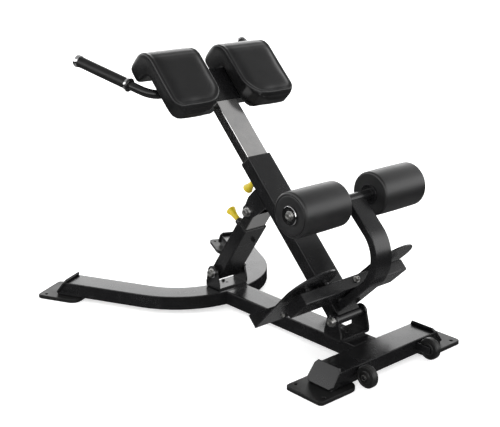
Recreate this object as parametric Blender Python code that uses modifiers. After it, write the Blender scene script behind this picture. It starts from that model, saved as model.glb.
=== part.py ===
"""Roman chair (45 degree back extension bench), modelled piece by piece.

Units are metres in the scene and millimetres in this script, with +Z up.
The user stands at the -Y end, faces +Y and leans on the two hip pads.
"""
import math

import bmesh
import bpy
from mathutils import Euler, Matrix, Vector

MM = 0.001
GAP = 0.3                       # air left between pieces that touch

# --- the whole object -------------------------------------------------------
DATUM_Y = -20.39               # moves the drawing datum so the plan is centred
TUBE_W, TUBE_H, WALL = 100.0, 50.0, 3.0
TUBE_R = 4.0                    # outer corner radius of every square tube

# --- floor frame ------------------------------------------------------------
FOOT_T = 14.0
BASE_Z = FOOT_T + GAP           # underside of the floor tubes
BASE_TOP = BASE_Z + TUBE_H
CROSS_Y = -550.5                # centre line of the tube at the standing end
CROSS_X = 219.0                 # half length of that tube along its top edge
END_TILT = math.radians(37.0)   # lean of the plates that close the tube ends
PLATE_T = 8.0
PLATE_DROP = 18.4               # plate's middle below the top of the tubes
PLATE_W, PLATE_L = 108.0, 72.0
FOOT_L, FOOT_W = 166.0, 151.0
FOOT_HOLE_IN, FOOT_HOLE_SIDE = 29.0, 58.0
FOOT_OUT = 328.0                # outer edge of a foot from the middle plane
ARCH_W = 93.0
ARCH_CY, ARCH_R = 443.3, 283.0  # centre and centre line radius of the bend
ARCH_TURN = math.radians(63.7)  # half the angle that the bend turns through
ARCH_ARM = 307.5                # straight arm length along its top edge
ARCH_FOOT_OUT = 413.5           # outer edge of a foot from the end of the bend

# --- clevises and pivots ----------------------------------------------------
FRONT_PIVOT = (-419.0, 125.8)   # y, z of the beam's hinge
REAR_PIVOT = (173.0, 124.3)     # y, z of the strut's lower hinge
EAR_OUT, EAR_T, EAR_R = 68.0, 7.0, 25.5
BOLT_R, BORE_R = 8.0, 8.4
OPEN_BORE_R = 11.0              # bracket bores, which let the linkage's small error through
CAP_R, CAP_T = 18.5, 3.0        # flange under each pivot bolt head

# --- beam, in its own frame: x, along the beam, out of its upper face -------
BEAM_TILT = math.radians(45.5)
FACE = 18.2                     # upper face above the hinge axis
BACK = FACE - TUBE_H
MID = FACE - TUBE_H / 2
SLEEVE_END = 613.5
BARREL_R = 16.0
AXLE = (273.7, 281.5)           # roller axle: along, out
AXLE_R = 17.0
ROLLER_R, ROLLER_IN, ROLLER_OUT = 71.5, 76.0, 268.0
CAP_DISH = 30.0                 # radius of the dished washer on each roller's end
ARM_W, ARM_T, ARM_R = 70.0, 28.0, 120.0
ARM_BEND = (152.4, 165.2)       # centre of the arm's bend: along, out
ARM_SHORT = 11.0                # the arm's end stops this far from the axle's centre
BAR_X, BAR_LO, BAR_HI, BAR_OUT = 231.0, 49.6, 89.6, 114.2
STEP_Z, STEP_T = 99.5, 5.0      # foot plate height along the beam, thickness
STEP_TOE, STEP_LIP = -143.0, 47.0
STEP_IN, STEP_OUT = 74.0, 241.0  # sides of a foot plate at the toe
HEEL = (178.0, 108.0, 94.5)     # middle of a foot plate's round end, and its radius
STUD_X, STUD_OUT = (107.0, 189.0), (100.0, 52.0)
TOP_PIVOT = (481.6, -118.4)     # strut's upper hinge: along, out
BEAM_PIN = 564.6                # pull pin of the beam, along

# --- sliding head -----------------------------------------------------------
INNER_W, INNER_H, INNER_WALL = 90.0, 40.0, 3.0
INNER_LO, INNER_HI = 330.0, 849.7
HOLE_PITCH, HOLE_R, PIN_R = 30.0, 6.0, 5.0
PIN_TIP = 4.8                   # how far a pull pin reaches past its housing's seat
MEMBER = (850.0, 900.0, -24.0, 5.5)     # cross member: along lo, hi, out lo, hi
MOUNT_PLATE = (850.0, 985.0, 190.0, 5.0)    # along lo, hi, half width, thickness
PAD_IN, PAD_OUT = 57.0, 263.0
PAD_LO_R, PAD_LEG_R, PAD_HI_R = 50.0, 90.0, 20.0    # corner radii of a pad: lower outer, lower inner, upper
PAD_LO, PAD_HI = 796.5, 1079.0          # its ends along the beam
PAD_BACK, PAD_FRONT = 16.5, 73.5
RAIL = (926.0, -10.2, 15.5)     # handle rail: along, out, radius
HANDLE_X = 265.0
HANDLE_END = (372.0, 1191.6, -142.1)
GRIP_R, GRIP_FROM, GRIP_TO = 19.0, 210.0, 16.0

# --- strut, in its own frame: x, up the strut, out of its front face --------
STRUT_W, STRUT_D, STRUT_TOP = 100.0, 50.0, 243.0
STRUT_OFF = -8.0                # upper hinge behind the strut's centre line
STRUT_WALL = 3.8
STRUT_IN_W, STRUT_IN_D = 90.0, 40.0
STRUT_LO = -15.0                # lower end of the outer tube
CHEEK_T = 5.0                   # cheeks of the bracket on the beam
STRUT_PIN = 201.0

# --- wheels -----------------------------------------------------------------
WHEEL_X, WHEEL_Y, WHEEL_Z = 147.0, -641.0, 43.5
WHEEL_R, WHEEL_T = 35.5, 23.0

parts = None
cutters = None
materials = {}


def clear_scene():
    """Remove every object of the start-up scene and make two collections."""
    global parts, cutters
    for obj in list(bpy.data.objects):
        bpy.data.objects.remove(obj, do_unlink=True)
    parts = bpy.data.collections.new("roman_chair")
    cutters = bpy.data.collections.new("cutters")
    bpy.context.scene.collection.children.link(parts)
    bpy.context.scene.collection.children.link(cutters)


def material(name, colour, roughness, metallic=0.0):
    """Principled material, made once for each name."""
    if name not in materials:
        mat = bpy.data.materials.new(name)
        mat.use_nodes = True
        shader = mat.node_tree.nodes["Principled BSDF"]
        shader.inputs["Base Color"].default_value = (*colour, 1.0)
        shader.inputs["Roughness"].default_value = roughness
        shader.inputs["Metallic"].default_value = metallic
        mat.diffuse_color = (*colour, 1.0)
        materials[name] = mat
    return materials[name]


def black():
    return material("black_powder_coat", (0.02, 0.02, 0.022), 0.38)


def steel():
    return material("zinc_steel", (0.62, 0.62, 0.6), 0.32, 1.0)


def chrome():
    return material("chrome", (0.8, 0.8, 0.8), 0.1, 1.0)


def plated():
    return material("plated_tube", (0.5, 0.5, 0.5), 0.3, 1.0)


def foam():
    return material("foam_roller", (0.03, 0.03, 0.032), 0.6)


def cover():
    return material("pad_cover", (0.022, 0.022, 0.024), 0.55)


def rubber():
    return material("black_rubber", (0.018, 0.018, 0.018), 0.75)


def plastic():
    return material("black_plastic", (0.03, 0.03, 0.03), 0.45)


def yellow():
    return material("yellow_plastic", (0.78, 0.58, 0.02), 0.4)


# --- frames -----------------------------------------------------------------
def empty(name, y, z, tilt, parent=None):
    """Empty turned about X: its Y runs along the piece, its Z out of it."""
    node = bpy.data.objects.new(name, None)
    node.empty_display_size = 0.05
    node.location = Vector((0.0, y, z)) * MM
    node.rotation_euler = (tilt, 0.0, 0.0)
    node.parent = parent
    parts.objects.link(node)
    return node


def place(obj, name, frame, mat, at=(0, 0, 0), turn=(0, 0, 0), store=None):
    """Name a new object and set it in a frame at a point in millimetres."""
    obj.name = name
    obj.data.name = name
    for coll in list(obj.users_collection):
        coll.objects.unlink(obj)
    (store or parts).objects.link(obj)
    obj.parent = frame
    obj.location = Vector(at) * MM
    obj.rotation_euler = Euler(turn)
    obj.data.materials.clear()
    if mat:
        obj.data.materials.append(mat)
    return obj


def bevel(obj, width, segments=2, angle=40.0):
    mod = obj.modifiers.new("edges", "BEVEL")
    mod.width = width * MM
    mod.segments = segments
    mod.limit_method = "ANGLE"
    mod.angle_limit = math.radians(angle)
    return obj


def smooth(obj, angle=40.0):
    obj.data.shade_smooth()
    obj.data.set_sharp_from_angle(angle=math.radians(angle))
    return obj


def boolean(obj, other, operation="DIFFERENCE"):
    """Cut or join with the exact solver; the other object becomes a cutter."""
    for coll in list(other.users_collection):
        coll.objects.unlink(other)
    cutters.objects.link(other)
    other.hide_render = True
    other.display_type = "WIRE"
    mod = obj.modifiers.new(operation.lower(), "BOOLEAN")
    mod.operation = operation
    mod.solver = "EXACT"
    mod.object = other
    return obj


# --- basic shapes -----------------------------------------------------------
def box(name, frame, mat, lo, hi, turn=(0, 0, 0)):
    """Cuboid from its low corner to its high corner, turned about its centre."""
    lo, hi = Vector(lo), Vector(hi)
    bpy.ops.mesh.primitive_cube_add(size=1.0)
    obj = bpy.context.object
    obj.data.transform(Matrix.Diagonal(((hi - lo) * MM).to_4d()))
    return place(obj, name, frame, mat, (lo + hi) / 2, turn)


AXIS_TURN = {"X": (0, math.pi / 2, 0), "Y": (-math.pi / 2, 0, 0), "Z": (0, 0, 0)}


def cylinder(name, frame, mat, radius, length, at, axis="X", sides=32):
    bpy.ops.mesh.primitive_cylinder_add(vertices=sides, radius=radius * MM, depth=length * MM)
    obj = place(bpy.context.object, name, frame, mat, at, AXIS_TURN[axis])
    return smooth(obj)


def turned(name, frame, mat, profile, at, turn, sides=40):
    """Solid of revolution about local Z from (radius, height) pairs, top first."""
    mesh = bpy.data.meshes.new(name)
    bm = bmesh.new()
    verts = [bm.verts.new((r * MM, 0.0, z * MM)) for r, z in profile]
    closed = profile[0][0] > 0 and profile[-1][0] > 0
    for a, b in zip(verts, verts[1:] + verts[:1] if closed else verts[1:]):
        bm.edges.new((a, b))
    bm.to_mesh(mesh)
    bm.free()
    obj = place(bpy.data.objects.new(name, mesh), name, frame, mat, at, turn)
    screw = obj.modifiers.new("turn", "SCREW")
    screw.steps = screw.render_steps = sides
    screw.use_merge_vertices = True
    screw.merge_threshold = 0.00001
    screw.use_smooth_shade = True
    return obj


def flatten(curve_obj):
    """Turn a curve object into a mesh object whose caps are welded on."""
    graph = bpy.context.evaluated_depsgraph_get()
    mesh = bpy.data.meshes.new_from_object(curve_obj.evaluated_get(graph))
    bm = bmesh.new()
    bm.from_mesh(mesh)
    bmesh.ops.remove_doubles(bm, verts=bm.verts, dist=0.00001)
    bmesh.ops.recalc_face_normals(bm, faces=bm.faces)
    bm.to_mesh(mesh)
    bm.free()
    obj = bpy.data.objects.new(curve_obj.name, mesh)
    obj.matrix_world = curve_obj.matrix_world
    bpy.data.objects.remove(curve_obj, do_unlink=True)
    return obj


def outline(name, frame, mat, loops, thickness, at=(0, 0, 0), turn=(0, 0, 0), edge=0.0, cuts=1):
    """Flat plate from closed loops of points; later loops are holes in it."""
    curve = bpy.data.curves.new(name, "CURVE")
    curve.dimensions = "2D"
    curve.fill_mode = "BOTH"
    curve.extrude = (thickness / 2 - edge) * MM
    curve.bevel_depth = edge * MM
    curve.offset = -edge * MM
    curve.bevel_resolution = cuts
    for loop in loops:
        spline = curve.splines.new("POLY")
        spline.points.add(len(loop) - 1)
        for point, (x, y) in zip(spline.points, loop):
            point.co = (x * MM, y * MM, 0.0, 1.0)
        spline.use_cyclic_u = True
    obj = bpy.data.objects.new(name + "_curve", curve)
    bpy.context.scene.collection.objects.link(obj)
    obj = flatten(obj)
    return smooth(place(obj, name, frame, mat, at, turn), 30.0)


def tube(name, frame, mat, points, radius, resolution=4):
    """Round bar or tube along a line of points."""
    curve = bpy.data.curves.new(name, "CURVE")
    curve.dimensions = "3D"
    curve.bevel_depth = radius * MM
    curve.bevel_resolution = resolution
    curve.use_fill_caps = True
    spline = curve.splines.new("POLY")
    spline.points.add(len(points) - 1)
    for point, co in zip(spline.points, points):
        point.co = (*(Vector(co) * MM), 1.0)
    obj = bpy.data.objects.new(name + "_curve", curve)
    bpy.context.scene.collection.objects.link(obj)
    obj = flatten(obj)
    return smooth(place(obj, name, frame, mat))


SIDE = (math.pi / 2, 0, math.pi / 2)    # plate in the Y-Z plane, thick along X
ALONG = (math.pi / 2, 0, 0)             # section in the X-Z plane, long along Y


def rounded(width, height, radius, steps=2):
    """Rounded rectangle about the origin."""
    points = []
    for k, (sx, sy) in enumerate(((1, 1), (-1, 1), (-1, -1), (1, -1))):
        for i in range(steps + 1):
            a = math.pi / 2 * (k + i / steps)
            points.append((sx * (width / 2 - radius) + radius * math.cos(a),
                           sy * (height / 2 - radius) + radius * math.sin(a)))
    return points


def circle(radius, cx=0.0, cy=0.0, sides=24):
    return [(cx + radius * math.cos(2 * math.pi * i / sides),
             cy + radius * math.sin(2 * math.pi * i / sides)) for i in range(sides)]


def arc(cx, cy, radius, start, end, steps):
    """Points on an arc; angles in radians."""
    return [(cx + radius * math.cos(start + (end - start) * i / steps),
             cy + radius * math.sin(start + (end - start) * i / steps))
            for i in range(steps + 1)]


def square_tube(name, frame, mat, width, height, wall, lo, hi, out, axis="Y"):
    """Hollow tube along Y or X of its frame, from lo to hi, centred at out in Z."""
    bore = rounded(width - 2 * wall, height - 2 * wall, max(TUBE_R - wall, 1.0))
    loops = [rounded(width, height, TUBE_R), bore]
    middle = (lo + hi) / 2
    if axis == "Y":
        return outline(name, frame, mat, loops, hi - lo, (0, middle, out), ALONG)
    return outline(name, frame, mat, loops, hi - lo, (middle, out[0], out[1]), SIDE)


# --- floor frame ------------------------------------------------------------
def arch_path(half):
    """One edge of the arch, offset from the centre line, as (x, y) points."""
    r = ARCH_R + half
    bend = arc(0.0, ARCH_CY, r, -math.pi / 2 - ARCH_TURN, -math.pi / 2 + ARCH_TURN, 20)
    reach = ARCH_ARM + 60.0
    dx, dy = math.cos(ARCH_TURN), math.sin(ARCH_TURN)
    left = (bend[0][0] - dx * reach, bend[0][1] + dy * reach)
    right = (bend[-1][0] + dx * reach, bend[-1][1] + dy * reach)
    return [left] + bend + [right]


def arm_end(side):
    """Empty where the bend ends: its Y points out along the straight arm."""
    angle = math.pi / 2 - ARCH_TURN
    x = side * ARCH_R * math.sin(ARCH_TURN)
    y = ARCH_CY - ARCH_R * math.cos(ARCH_TURN)
    node = bpy.data.objects.new("arch_arm_%s" % ("right" if side > 0 else "left"), None)
    node.location = Vector((x, y, 0.0)) * MM
    node.rotation_euler = (0.0, 0.0, -side * angle)
    return node


def end_cutter(name, frame, along, tilt_axis_turn):
    """Large block whose lower face trims a floor tube's end at the plate's lean."""
    block = box(name, frame, None, (-90, 0, -90), (90, 120, 90))
    block.data.transform(Matrix.Translation(Vector((0, 60, 0)) * MM))
    block.location = Vector((0, along, BASE_TOP)) * MM
    block.rotation_euler = tilt_axis_turn
    return block


def floor_tubes(base, arms):
    """Arch, spine and cross tube, each hollow with open, leaning ends."""
    middle = BASE_Z + TUBE_H / 2
    edge = arch_path(ARCH_W / 2) + arch_path(-ARCH_W / 2)[::-1]
    arch = outline("rear_arch_tube", base, black(), [edge], TUBE_H, (0, 0, middle), edge=3.0)
    core = arch_path(ARCH_W / 2 - WALL) + arch_path(WALL - ARCH_W / 2)[::-1]
    boolean(arch, outline("arch_core", base, None, [stretch(core)], TUBE_H - 2 * WALL, (0, 0, middle)))
    for side, frame in arms.items():
        boolean(arch, end_cutter("arch_end_cut", frame, ARCH_ARM, (END_TILT, 0, 0)))
    smooth(arch)

    spine = square_tube("spine_tube", base, black(), TUBE_W, TUBE_H, WALL,
                        CROSS_Y + TUBE_W / 2 + GAP, 130.0, middle)
    boolean(spine, cylinder("spine_cope", base, None, ARCH_R + ARCH_W / 2 + GAP, 80,
                            (0, ARCH_CY, middle), "Z", 144))

    cross = square_tube("foot_cross_tube", base, black(), TUBE_W, TUBE_H, WALL,
                        -CROSS_X - 60, CROSS_X + 60, (CROSS_Y, middle), "X")
    for side in (-1, 1):
        turn = (END_TILT, 0, -side * math.pi / 2)
        cutter = end_cutter("cross_end_cut", base, 0.0, turn)
        cutter.location = Vector((side * CROSS_X, CROSS_Y, BASE_TOP)) * MM
        boolean(cross, cutter)


def stretch(loop):
    """Lengthen the arch's arms at both ends so the bore runs out of them."""
    half = len(loop) // 2
    points = list(loop)
    for end, prev in ((0, 1), (half - 1, half - 2), (half, half + 1), (-1, -2)):
        step = Vector(points[end]) - Vector(points[prev])
        points[end] = tuple(Vector(points[end]) + step.normalized() * 20.0)
    return points


def end_plate(name, frame, y, turn_z=0.0):
    """Plate with clipped corners that closes a floor tube's leaning end."""
    w, l = PLATE_W / 2, PLATE_L / 2
    half = [(w - 12, -l), (w, -l + 12), (w - 2, l - 13), (w - 11, l)]
    loop = half + [(-px, py) for px, py in half[::-1]]
    tilt = math.pi / 2 + END_TILT
    out = PLATE_T / 2 + GAP
    middle = BASE_TOP - PLATE_DROP
    reach = y + PLATE_DROP * math.tan(END_TILT) + out / math.cos(END_TILT)
    obj = outline(name, frame, black(), [loop], PLATE_T, (0, 0, 0), (tilt, 0, turn_z), edge=1.5, cuts=0)
    outward = Matrix.Rotation(turn_z, 3, "Z") @ Vector((0, reach, 0))
    obj.location = (Vector((0, 0, middle)) + outward) * MM
    return obj


def foot(name, frame, at, turn_z):
    """Floor foot with two fixing holes near its outer edge (local +Y)."""
    loop = rounded(FOOT_W, FOOT_L, 14.0, 3)
    inner = [(x, y) for x, y in rounded(FOOT_W, FOOT_L, 34.0, 4) if y < 0]
    loop = [p for p in loop if p[1] > 0] + inner
    loop.sort(key=lambda p: math.atan2(p[1], p[0]))
    holes = [circle(5.5, s * FOOT_HOLE_SIDE, FOOT_L / 2 - FOOT_HOLE_IN, 12) for s in (-1, 1)]
    return outline(name, frame, rubber(), [loop] + holes, FOOT_T, (*at, FOOT_T / 2),
                   (0, 0, turn_z), edge=1.5, cuts=0)


def floor_frame(base):
    arms = {side: arm_end(side) for side in (-1, 1)}
    for frame in arms.values():
        parts.objects.link(frame)
        frame.parent = base
    floor_tubes(base, arms)
    for side, label in ((-1, "left"), (1, "right")):
        end_plate("arch_end_plate_" + label, arms[side], ARCH_ARM)
        foot("arch_foot_" + label, arms[side], (0, ARCH_FOOT_OUT - FOOT_L / 2), 0.0)
        plate = end_plate("cross_end_plate_" + label, base, 0.0, -side * math.pi / 2)
        plate.location.x += side * CROSS_X * MM
        plate.location.y = CROSS_Y * MM
        foot("cross_foot_" + label, base, (side * (FOOT_OUT - FOOT_L / 2), CROSS_Y),
             -side * math.pi / 2)


# --- clevises and pivot bolts -----------------------------------------------
def clevis(name, frame, base_lo, base_hi, pivot):
    """Bent plate with two rounded ears, a bolt bore and a small drain hole."""
    y, z = pivot
    floor = BASE_TOP + GAP
    width, height = 2 * EAR_OUT, z + 60 - floor
    inner = width - 2 * EAR_T
    corner = [(EAR_OUT - 6 + 6 * math.cos(a), 6 + 6 * math.sin(a))
              for a in (-math.pi / 2, -math.pi / 4, 0.0)]
    right = corner + [(EAR_OUT, height), (inner / 2, height), (inner / 2, EAR_T)]
    section = [(-px, py) for px, py in right[::-1]]
    section = right + section
    obj = outline(name, frame, black(), [section], base_hi - base_lo,
                  (0, (base_lo + base_hi) / 2, floor), ALONG)
    tangent = [(base_lo, -5.0), (base_hi, -5.0), (base_hi, 20.0)]
    dome = arc(y, z - floor, EAR_R, math.radians(-4), math.radians(184), 14)
    keep = outline(name + "_keep", frame, None, [tangent + dome + [(base_lo, 20.0)]],
                   width + 20, (0, 0, floor), SIDE)
    boolean(obj, keep, "INTERSECT")
    boolean(obj, cylinder(name + "_bore", frame, None, BORE_R, width + 20, (0, y, z),
                          "X", 24))
    boolean(obj, cylinder(name + "_drain", frame, None, 5.0, 40, (0, (base_lo + base_hi) / 2, floor),
                          "Z", 12))
    return obj


def pivot_bolt(name, frame, y, z, half):
    """Bolt with a flanged domed head at one end and a matching nut at the other."""
    face = half + GAP
    head = face + CAP_T
    profile = [(0, head + 8), (7, head + 7.2), (11, head + 4.5), (12.5, head), (CAP_R, head),
               (CAP_R, face), (BOLT_R, face)]
    profile += [(r, -h) for r, h in profile[::-1]]
    return turned(name, frame, chrome(), profile, (0, y, z), AXIS_TURN["X"], 24)


def clevises(base):
    clevis("front_clevis", base, -455.0, -383.0, FRONT_PIVOT)
    clevis("rear_clevis", base, 138.0, 208.0, REAR_PIVOT)
    pivot_bolt("front_pivot_bolt", base, *FRONT_PIVOT, EAR_OUT)
    pivot_bolt("rear_pivot_bolt", base, *REAR_PIVOT, EAR_OUT)


# --- transport wheels -------------------------------------------------------
def wheel_set(base, side, label):
    """Wheel on a stub axle that a small bracket holds off the cross tube."""
    face = CROSS_Y - TUBE_W / 2 - GAP
    x = side * WHEEL_X
    inner = x - side * (WHEEL_T / 2 + 1.0)
    lo, hi = sorted((inner, inner - side * 8.0))
    arm = box("wheel_bracket_" + label, base, black(), (lo, WHEEL_Y - 13, WHEEL_Z - 13),
              (hi, face, WHEEL_Z + 13))
    bevel(arm, 3.0)
    stub = cylinder("wheel_stub_" + label, base, None, 6.0, WHEEL_T + 14,
                    (x + side * 0.5, WHEEL_Y, WHEEL_Z), "X", 20)
    boolean(arm, stub, "UNION")
    half = WHEEL_T / 2
    profile = [(17, half), (19, half - 1.5), (26, half - 1.5), (28, half), (WHEEL_R - 3, half),
               (WHEEL_R, half - 4)]
    profile += [(r, -h) for r, h in profile[::-1]] + [(6.4, -half), (6.4, half)]
    turned("wheel_" + label, base, rubber(), profile, (x, WHEEL_Y, WHEEL_Z), AXIS_TURN["X"], 28)
    nut_at = x + side * (half + 4.0)
    nut = cylinder("wheel_nut_" + label, base, steel(), 9.5, 6.0, (nut_at, WHEEL_Y, WHEEL_Z), "X", 6)
    boolean(nut, cylinder("wheel_nut_bore_" + label, base, None, 6.3, 20,
                          (nut_at, WHEEL_Y, WHEEL_Z), "X", 16))


# --- beam -------------------------------------------------------------------
def sleeve(beam):
    """Outer tube of the beam, coped onto the hinge barrel at its lower end."""
    obj = square_tube("beam_sleeve", beam, black(), TUBE_W, TUBE_H, WALL, 8.0, SLEEVE_END, MID)
    boolean(obj, cylinder("sleeve_cope", beam, None, BARREL_R + GAP, 140, (0, 0, 0), "X", 32))
    boolean(obj, cylinder("sleeve_pin_hole", beam, None, HOLE_R, 20, (0, BEAM_PIN, BACK), "Z", 20))

    barrel = cylinder("hinge_barrel", beam, black(), BARREL_R, 2 * (EAR_OUT - EAR_T) - 2.0,
                      (0, 0, 0), "X", 32)
    boolean(barrel, cylinder("barrel_bore", beam, None, BORE_R, 140, (0, 0, 0), "X", 24))

    liner = outline("sleeve_liner", beam, plastic(),
                    [rounded(93.4, 43.4, 0.8), rounded(90.7, 40.7, 0.9)], 92.0,
                    (0, SLEEVE_END - 44.0 + GAP, MID), ALONG)
    collar = outline("liner_collar", beam, None,
                     [rounded(TUBE_W, TUBE_H, TUBE_R), rounded(90.7, 40.7, 0.9)], 4.0,
                     (0, SLEEVE_END + GAP + 2.0, MID), ALONG)
    boolean(liner, collar, "UNION")
    boolean(liner, cylinder("liner_pin_hole", beam, None, HOLE_R, 20, (0, BEAM_PIN, BACK), "Z", 20))


def arm_line(half, extra=0.0):
    """One edge of the roller arm as (along, out) points, from foot to axle."""
    by, bz = ARM_BEND
    ay, az = AXLE[0] - by, AXLE[1] - bz
    reach = math.hypot(ay, az)
    heading = math.atan2(az, ay) + math.acos(ARM_R / reach)
    r = ARM_R + half
    beyond = extra - ARM_SHORT
    tip = (AXLE[0] + half * math.cos(heading) + beyond * math.sin(heading),
           AXLE[1] + half * math.sin(heading) - beyond * math.cos(heading))
    return [(by - r, FACE + GAP - extra)] + arc(by, bz, r, math.pi, heading, 16) + [tip]


def roller_arm(beam):
    """Curved arm, roller axle, two foam rollers and the caps on their ends."""
    loop = arm_line(ARM_T / 2) + arm_line(-ARM_T / 2)[::-1]
    arm = outline("roller_arm", beam, black(), [loop], ARM_W, (0, 0, 0), SIDE, edge=4.0)
    core = arm_line(ARM_T / 2 - WALL, 5.0) + arm_line(WALL - ARM_T / 2, 5.0)[::-1]
    boolean(arm, outline("arm_core", beam, None, [core], ARM_W - 2 * WALL, (0, 0, 0), SIDE))
    boolean(arm, cylinder("arm_cope", beam, None, AXLE_R + GAP, 90, (0, *AXLE), "X", 32))

    flange = ROLLER_IN - 1.0
    half = ROLLER_OUT + 1.0
    profile = [(AXLE_R, half), (AXLE_R, flange), (32, flange), (32, flange - 4), (AXLE_R, flange - 4)]
    profile += [(r, -h) for r, h in profile[::-1]] + [(6.0, -half), (6.0, half)]
    turned("roller_axle", beam, black(), profile, (0, *AXLE), AXIS_TURN["X"], 28)

    for side, label in ((-1, "left"), (1, "right")):
        r, mid, half = ROLLER_R, (ROLLER_IN + ROLLER_OUT) / 2, (ROLLER_OUT - ROLLER_IN) / 2
        turn = (0, side * math.pi / 2, 0)
        bore = AXLE_R + 0.5
        profile = [(bore, half), (30, half), (33, half - 3), (50, half - 3), (53, half),
                   (r - 9, half), (r - 3, half - 3), (r, half - 10), (r, -half + 10),
                   (r - 3, -half + 3), (r - 9, -half), (bore, -half)]
        turned("roller_" + label, beam, foam(), profile, (side * mid, *AXLE), turn, 36)
        tip = ROLLER_OUT + 1.3
        dish = CAP_DISH
        cap = [(0, 7.5), (6, 7), (9, 5), (9.5, 2.5), (dish - 6, 5), (dish - 1.5, 4.5), (dish, 2.5),
               (dish - 1, 0), (5.5, 0), (5.5, -30), (0, -30)]
        turned("roller_cap_" + label, beam, chrome(), cap, (side * tip, *AXLE), turn, 24)


def footrest(beam):
    """Cross bar on the beam with four studs, and a plate for each foot."""
    depth = BAR_OUT - FACE - GAP
    out = (BAR_OUT + FACE + GAP) / 2
    along = (BAR_LO + BAR_HI) / 2
    bar = outline("footrest_bar", beam, black(), [rounded(BAR_HI - BAR_LO, depth, TUBE_R)],
                  2 * BAR_X, (0, along, out), SIDE)
    hollow = Vector((BAR_X, (BAR_HI - BAR_LO) / 2, depth / 2)) - Vector((WALL, WALL, WALL))
    centre = Vector((0, along, out))
    boolean(bar, box("bar_hollow", beam, None, centre - hollow, centre + hollow))
    boolean(bar, cylinder("bar_vent", beam, None, 3.0, 12, (TUBE_W / 2 + 12, along, FACE), "Z", 12))
    for x in STUD_X:
        for h in STUD_OUT:
            for side in (-1, 1):
                stud = cylinder("footrest_stud", beam, None, 8.0, STEP_Z - GAP - BAR_HI + 2.0,
                                (side * x, (STEP_Z - GAP + BAR_HI - 2.0) / 2, h), "Y", 12)
                boolean(bar, stud, "UNION")
    loop = [(STEP_IN, STEP_TOE), (STEP_OUT, STEP_TOE)]
    loop += arc(*HEEL, math.radians(-7), math.radians(183), 18)
    for side, label in ((-1, "left"), (1, "right")):
        edge = [(side * x, h) for x, h in loop]
        step = outline("foot_plate_" + label, beam, black(), [edge], STEP_T,
                       (0, STEP_Z + STEP_T / 2, 0), ALONG, edge=1.0)
        lo, hi = sorted((side * (STEP_IN + 1.0), side * (STEP_OUT - 1.0)))
        lip = box("toe_lip_" + label, beam, None, (lo, STEP_Z + 1, STEP_TOE + 0.5),
                  (hi, STEP_Z + STEP_LIP, STEP_TOE + 5.0))
        boolean(step, lip, "UNION")


def strut_bracket(beam):
    """Pair of cheeks under the beam with a base between them, bored for a bolt."""
    y, z = TOP_PIVOT
    back = BACK - GAP
    cheek = [(444.0, back), (518.0, back), (518.0, -77.0)]
    cheek += arc(y, z, 26.0, math.radians(15), math.radians(-180), 12) + [(446.0, -64.0)]
    width = STRUT_IN_W + 2.0
    obj = outline("strut_bracket", beam, black(), [cheek], width + 2 * CHEEK_T, (0, 0, 0), SIDE)
    boolean(obj, box("bracket_slot", beam, None, (-width / 2, 400, -200), (width / 2, 600, back - 8)))
    boolean(obj, cylinder("bracket_bore", beam, None, OPEN_BORE_R, 140, (0, y, z), "X", 24))


# --- pull pins --------------------------------------------------------------
def pull_pin(prefix, frame, along, out):
    """Sprung pull pin that points out of a lower face: housing, pin, spring, knob.

    out is the height of that face. The tip stops just short of the inner tube.
    """
    down = (math.pi, 0, 0)
    at = (0, along, out - GAP)
    shell = [(PIN_R + 0.4, 34), (13, 34), (14, 33), (14, 8), (18, 6), (18, 0), (11, 0), (11, 28),
             (PIN_R + 0.4, 28)]
    turned(prefix + "_pin_housing", frame, plastic(), shell, at, down, 20)
    rod = [(0, 60), (PIN_R, 60), (PIN_R, 9), (8.5, 9), (8.5, 6), (PIN_R, 6), (PIN_R, 1 - PIN_TIP),
           (PIN_R - 1, -PIN_TIP), (0, -PIN_TIP)]
    turned(prefix + "_pin", frame, steel(), rod, at, down, 16)
    turns, step = 5, 8
    points = []
    for i in range(turns * step + 1):
        a = 2 * math.pi * i / step
        points.append((7.6 * math.cos(a), along + 7.6 * math.sin(a),
                       out - GAP - 10.4 - i * (16.4 / (turns * step))))
    tube(prefix + "_pin_spring", frame, steel(), points, 0.7, 0)
    knob = [(0, 87), (13, 87), (17.5, 84), (18, 81), (12, 65), (10, 50), (9.5, 36),
            (PIN_R + 0.3, 36), (PIN_R + 0.3, 60.4), (0, 60.4)]
    turned(prefix + "_knob", frame, yellow(), knob, at, down, 24)


# --- strut ------------------------------------------------------------------
def strut_parts(strut, rod, top_reach):
    """Telescopic strut: outer tube on the floor hinge, inner tube to the beam."""
    outer = square_tube("strut_outer", strut, black(), STRUT_W, STRUT_D, STRUT_WALL, STRUT_LO, STRUT_TOP, 0.0)
    barrel = cylinder("strut_barrel", strut, None, BARREL_R, 2 * (EAR_OUT - EAR_T) - 2.0,
                      (0, 0, 0), "X", 32)
    boolean(outer, barrel, "UNION")
    boolean(outer, cylinder("strut_bore", strut, None, BORE_R, 160, (0, 0, 0), "X", 24))
    boolean(outer, cylinder("strut_pin_hole", strut, None, HOLE_R, 20,
                            (0, STRUT_PIN, -STRUT_D / 2), "Z", 20))

    inner = square_tube("strut_inner", rod, plated(), STRUT_IN_W, STRUT_IN_D, 3.0,
                        70.0, top_reach + 10.0, 0.0)
    eye = cylinder("strut_eye", rod, None, BARREL_R, STRUT_IN_W, (0, top_reach, STRUT_OFF), "X", 28)
    boolean(inner, eye, "UNION")
    boolean(inner, cylinder("eye_bore", rod, None, BORE_R, 160, (0, top_reach, STRUT_OFF), "X", 24))
    pivot_bolt("top_pivot_bolt", rod, top_reach, STRUT_OFF, STRUT_IN_W / 2 + 1.0 + CHEEK_T)
    for k in range(-1, 4):
        boolean(inner, cylinder("strut_hole", rod, None, HOLE_R, 12,
                                (0, STRUT_PIN - k * HOLE_PITCH, -STRUT_IN_D / 2), "Z", 12))
    pull_pin("strut", strut, STRUT_PIN, -STRUT_D / 2)


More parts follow.
